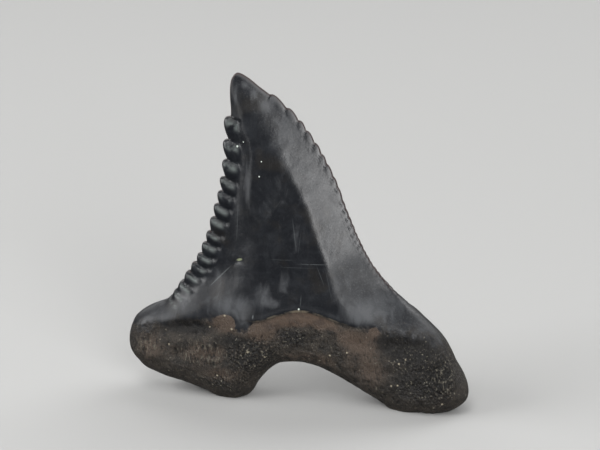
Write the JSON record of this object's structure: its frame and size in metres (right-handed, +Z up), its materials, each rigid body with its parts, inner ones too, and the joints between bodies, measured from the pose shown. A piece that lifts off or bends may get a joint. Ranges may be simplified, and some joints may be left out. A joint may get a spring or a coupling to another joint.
{
  "type": "fossil shark tooth",
  "caption": "Fossil upper tooth of a snaggletooth shark: curved triangular crown, coarse hooked serrations on one edge, fine ones on the other, and a two-lobed root that it stands on.",
  "frame": {"origin": "on the floor under the middle of the tooth's width and depth", "axes": "+X to the right across the outer face, +Y from the outer face to the inner face, +Z up from the root lobes to the tip"},
  "size_m": [0.0334, 0.0096, 0.0318],
  "materials": {
    "fossil_tooth": "near-black fossil enamel with a satin shine; the root below is matt, porous and dark brown"
  },
  "bodies": {
    "root": {"tooth": "fossil_tooth"}
  },
  "joints": []
}
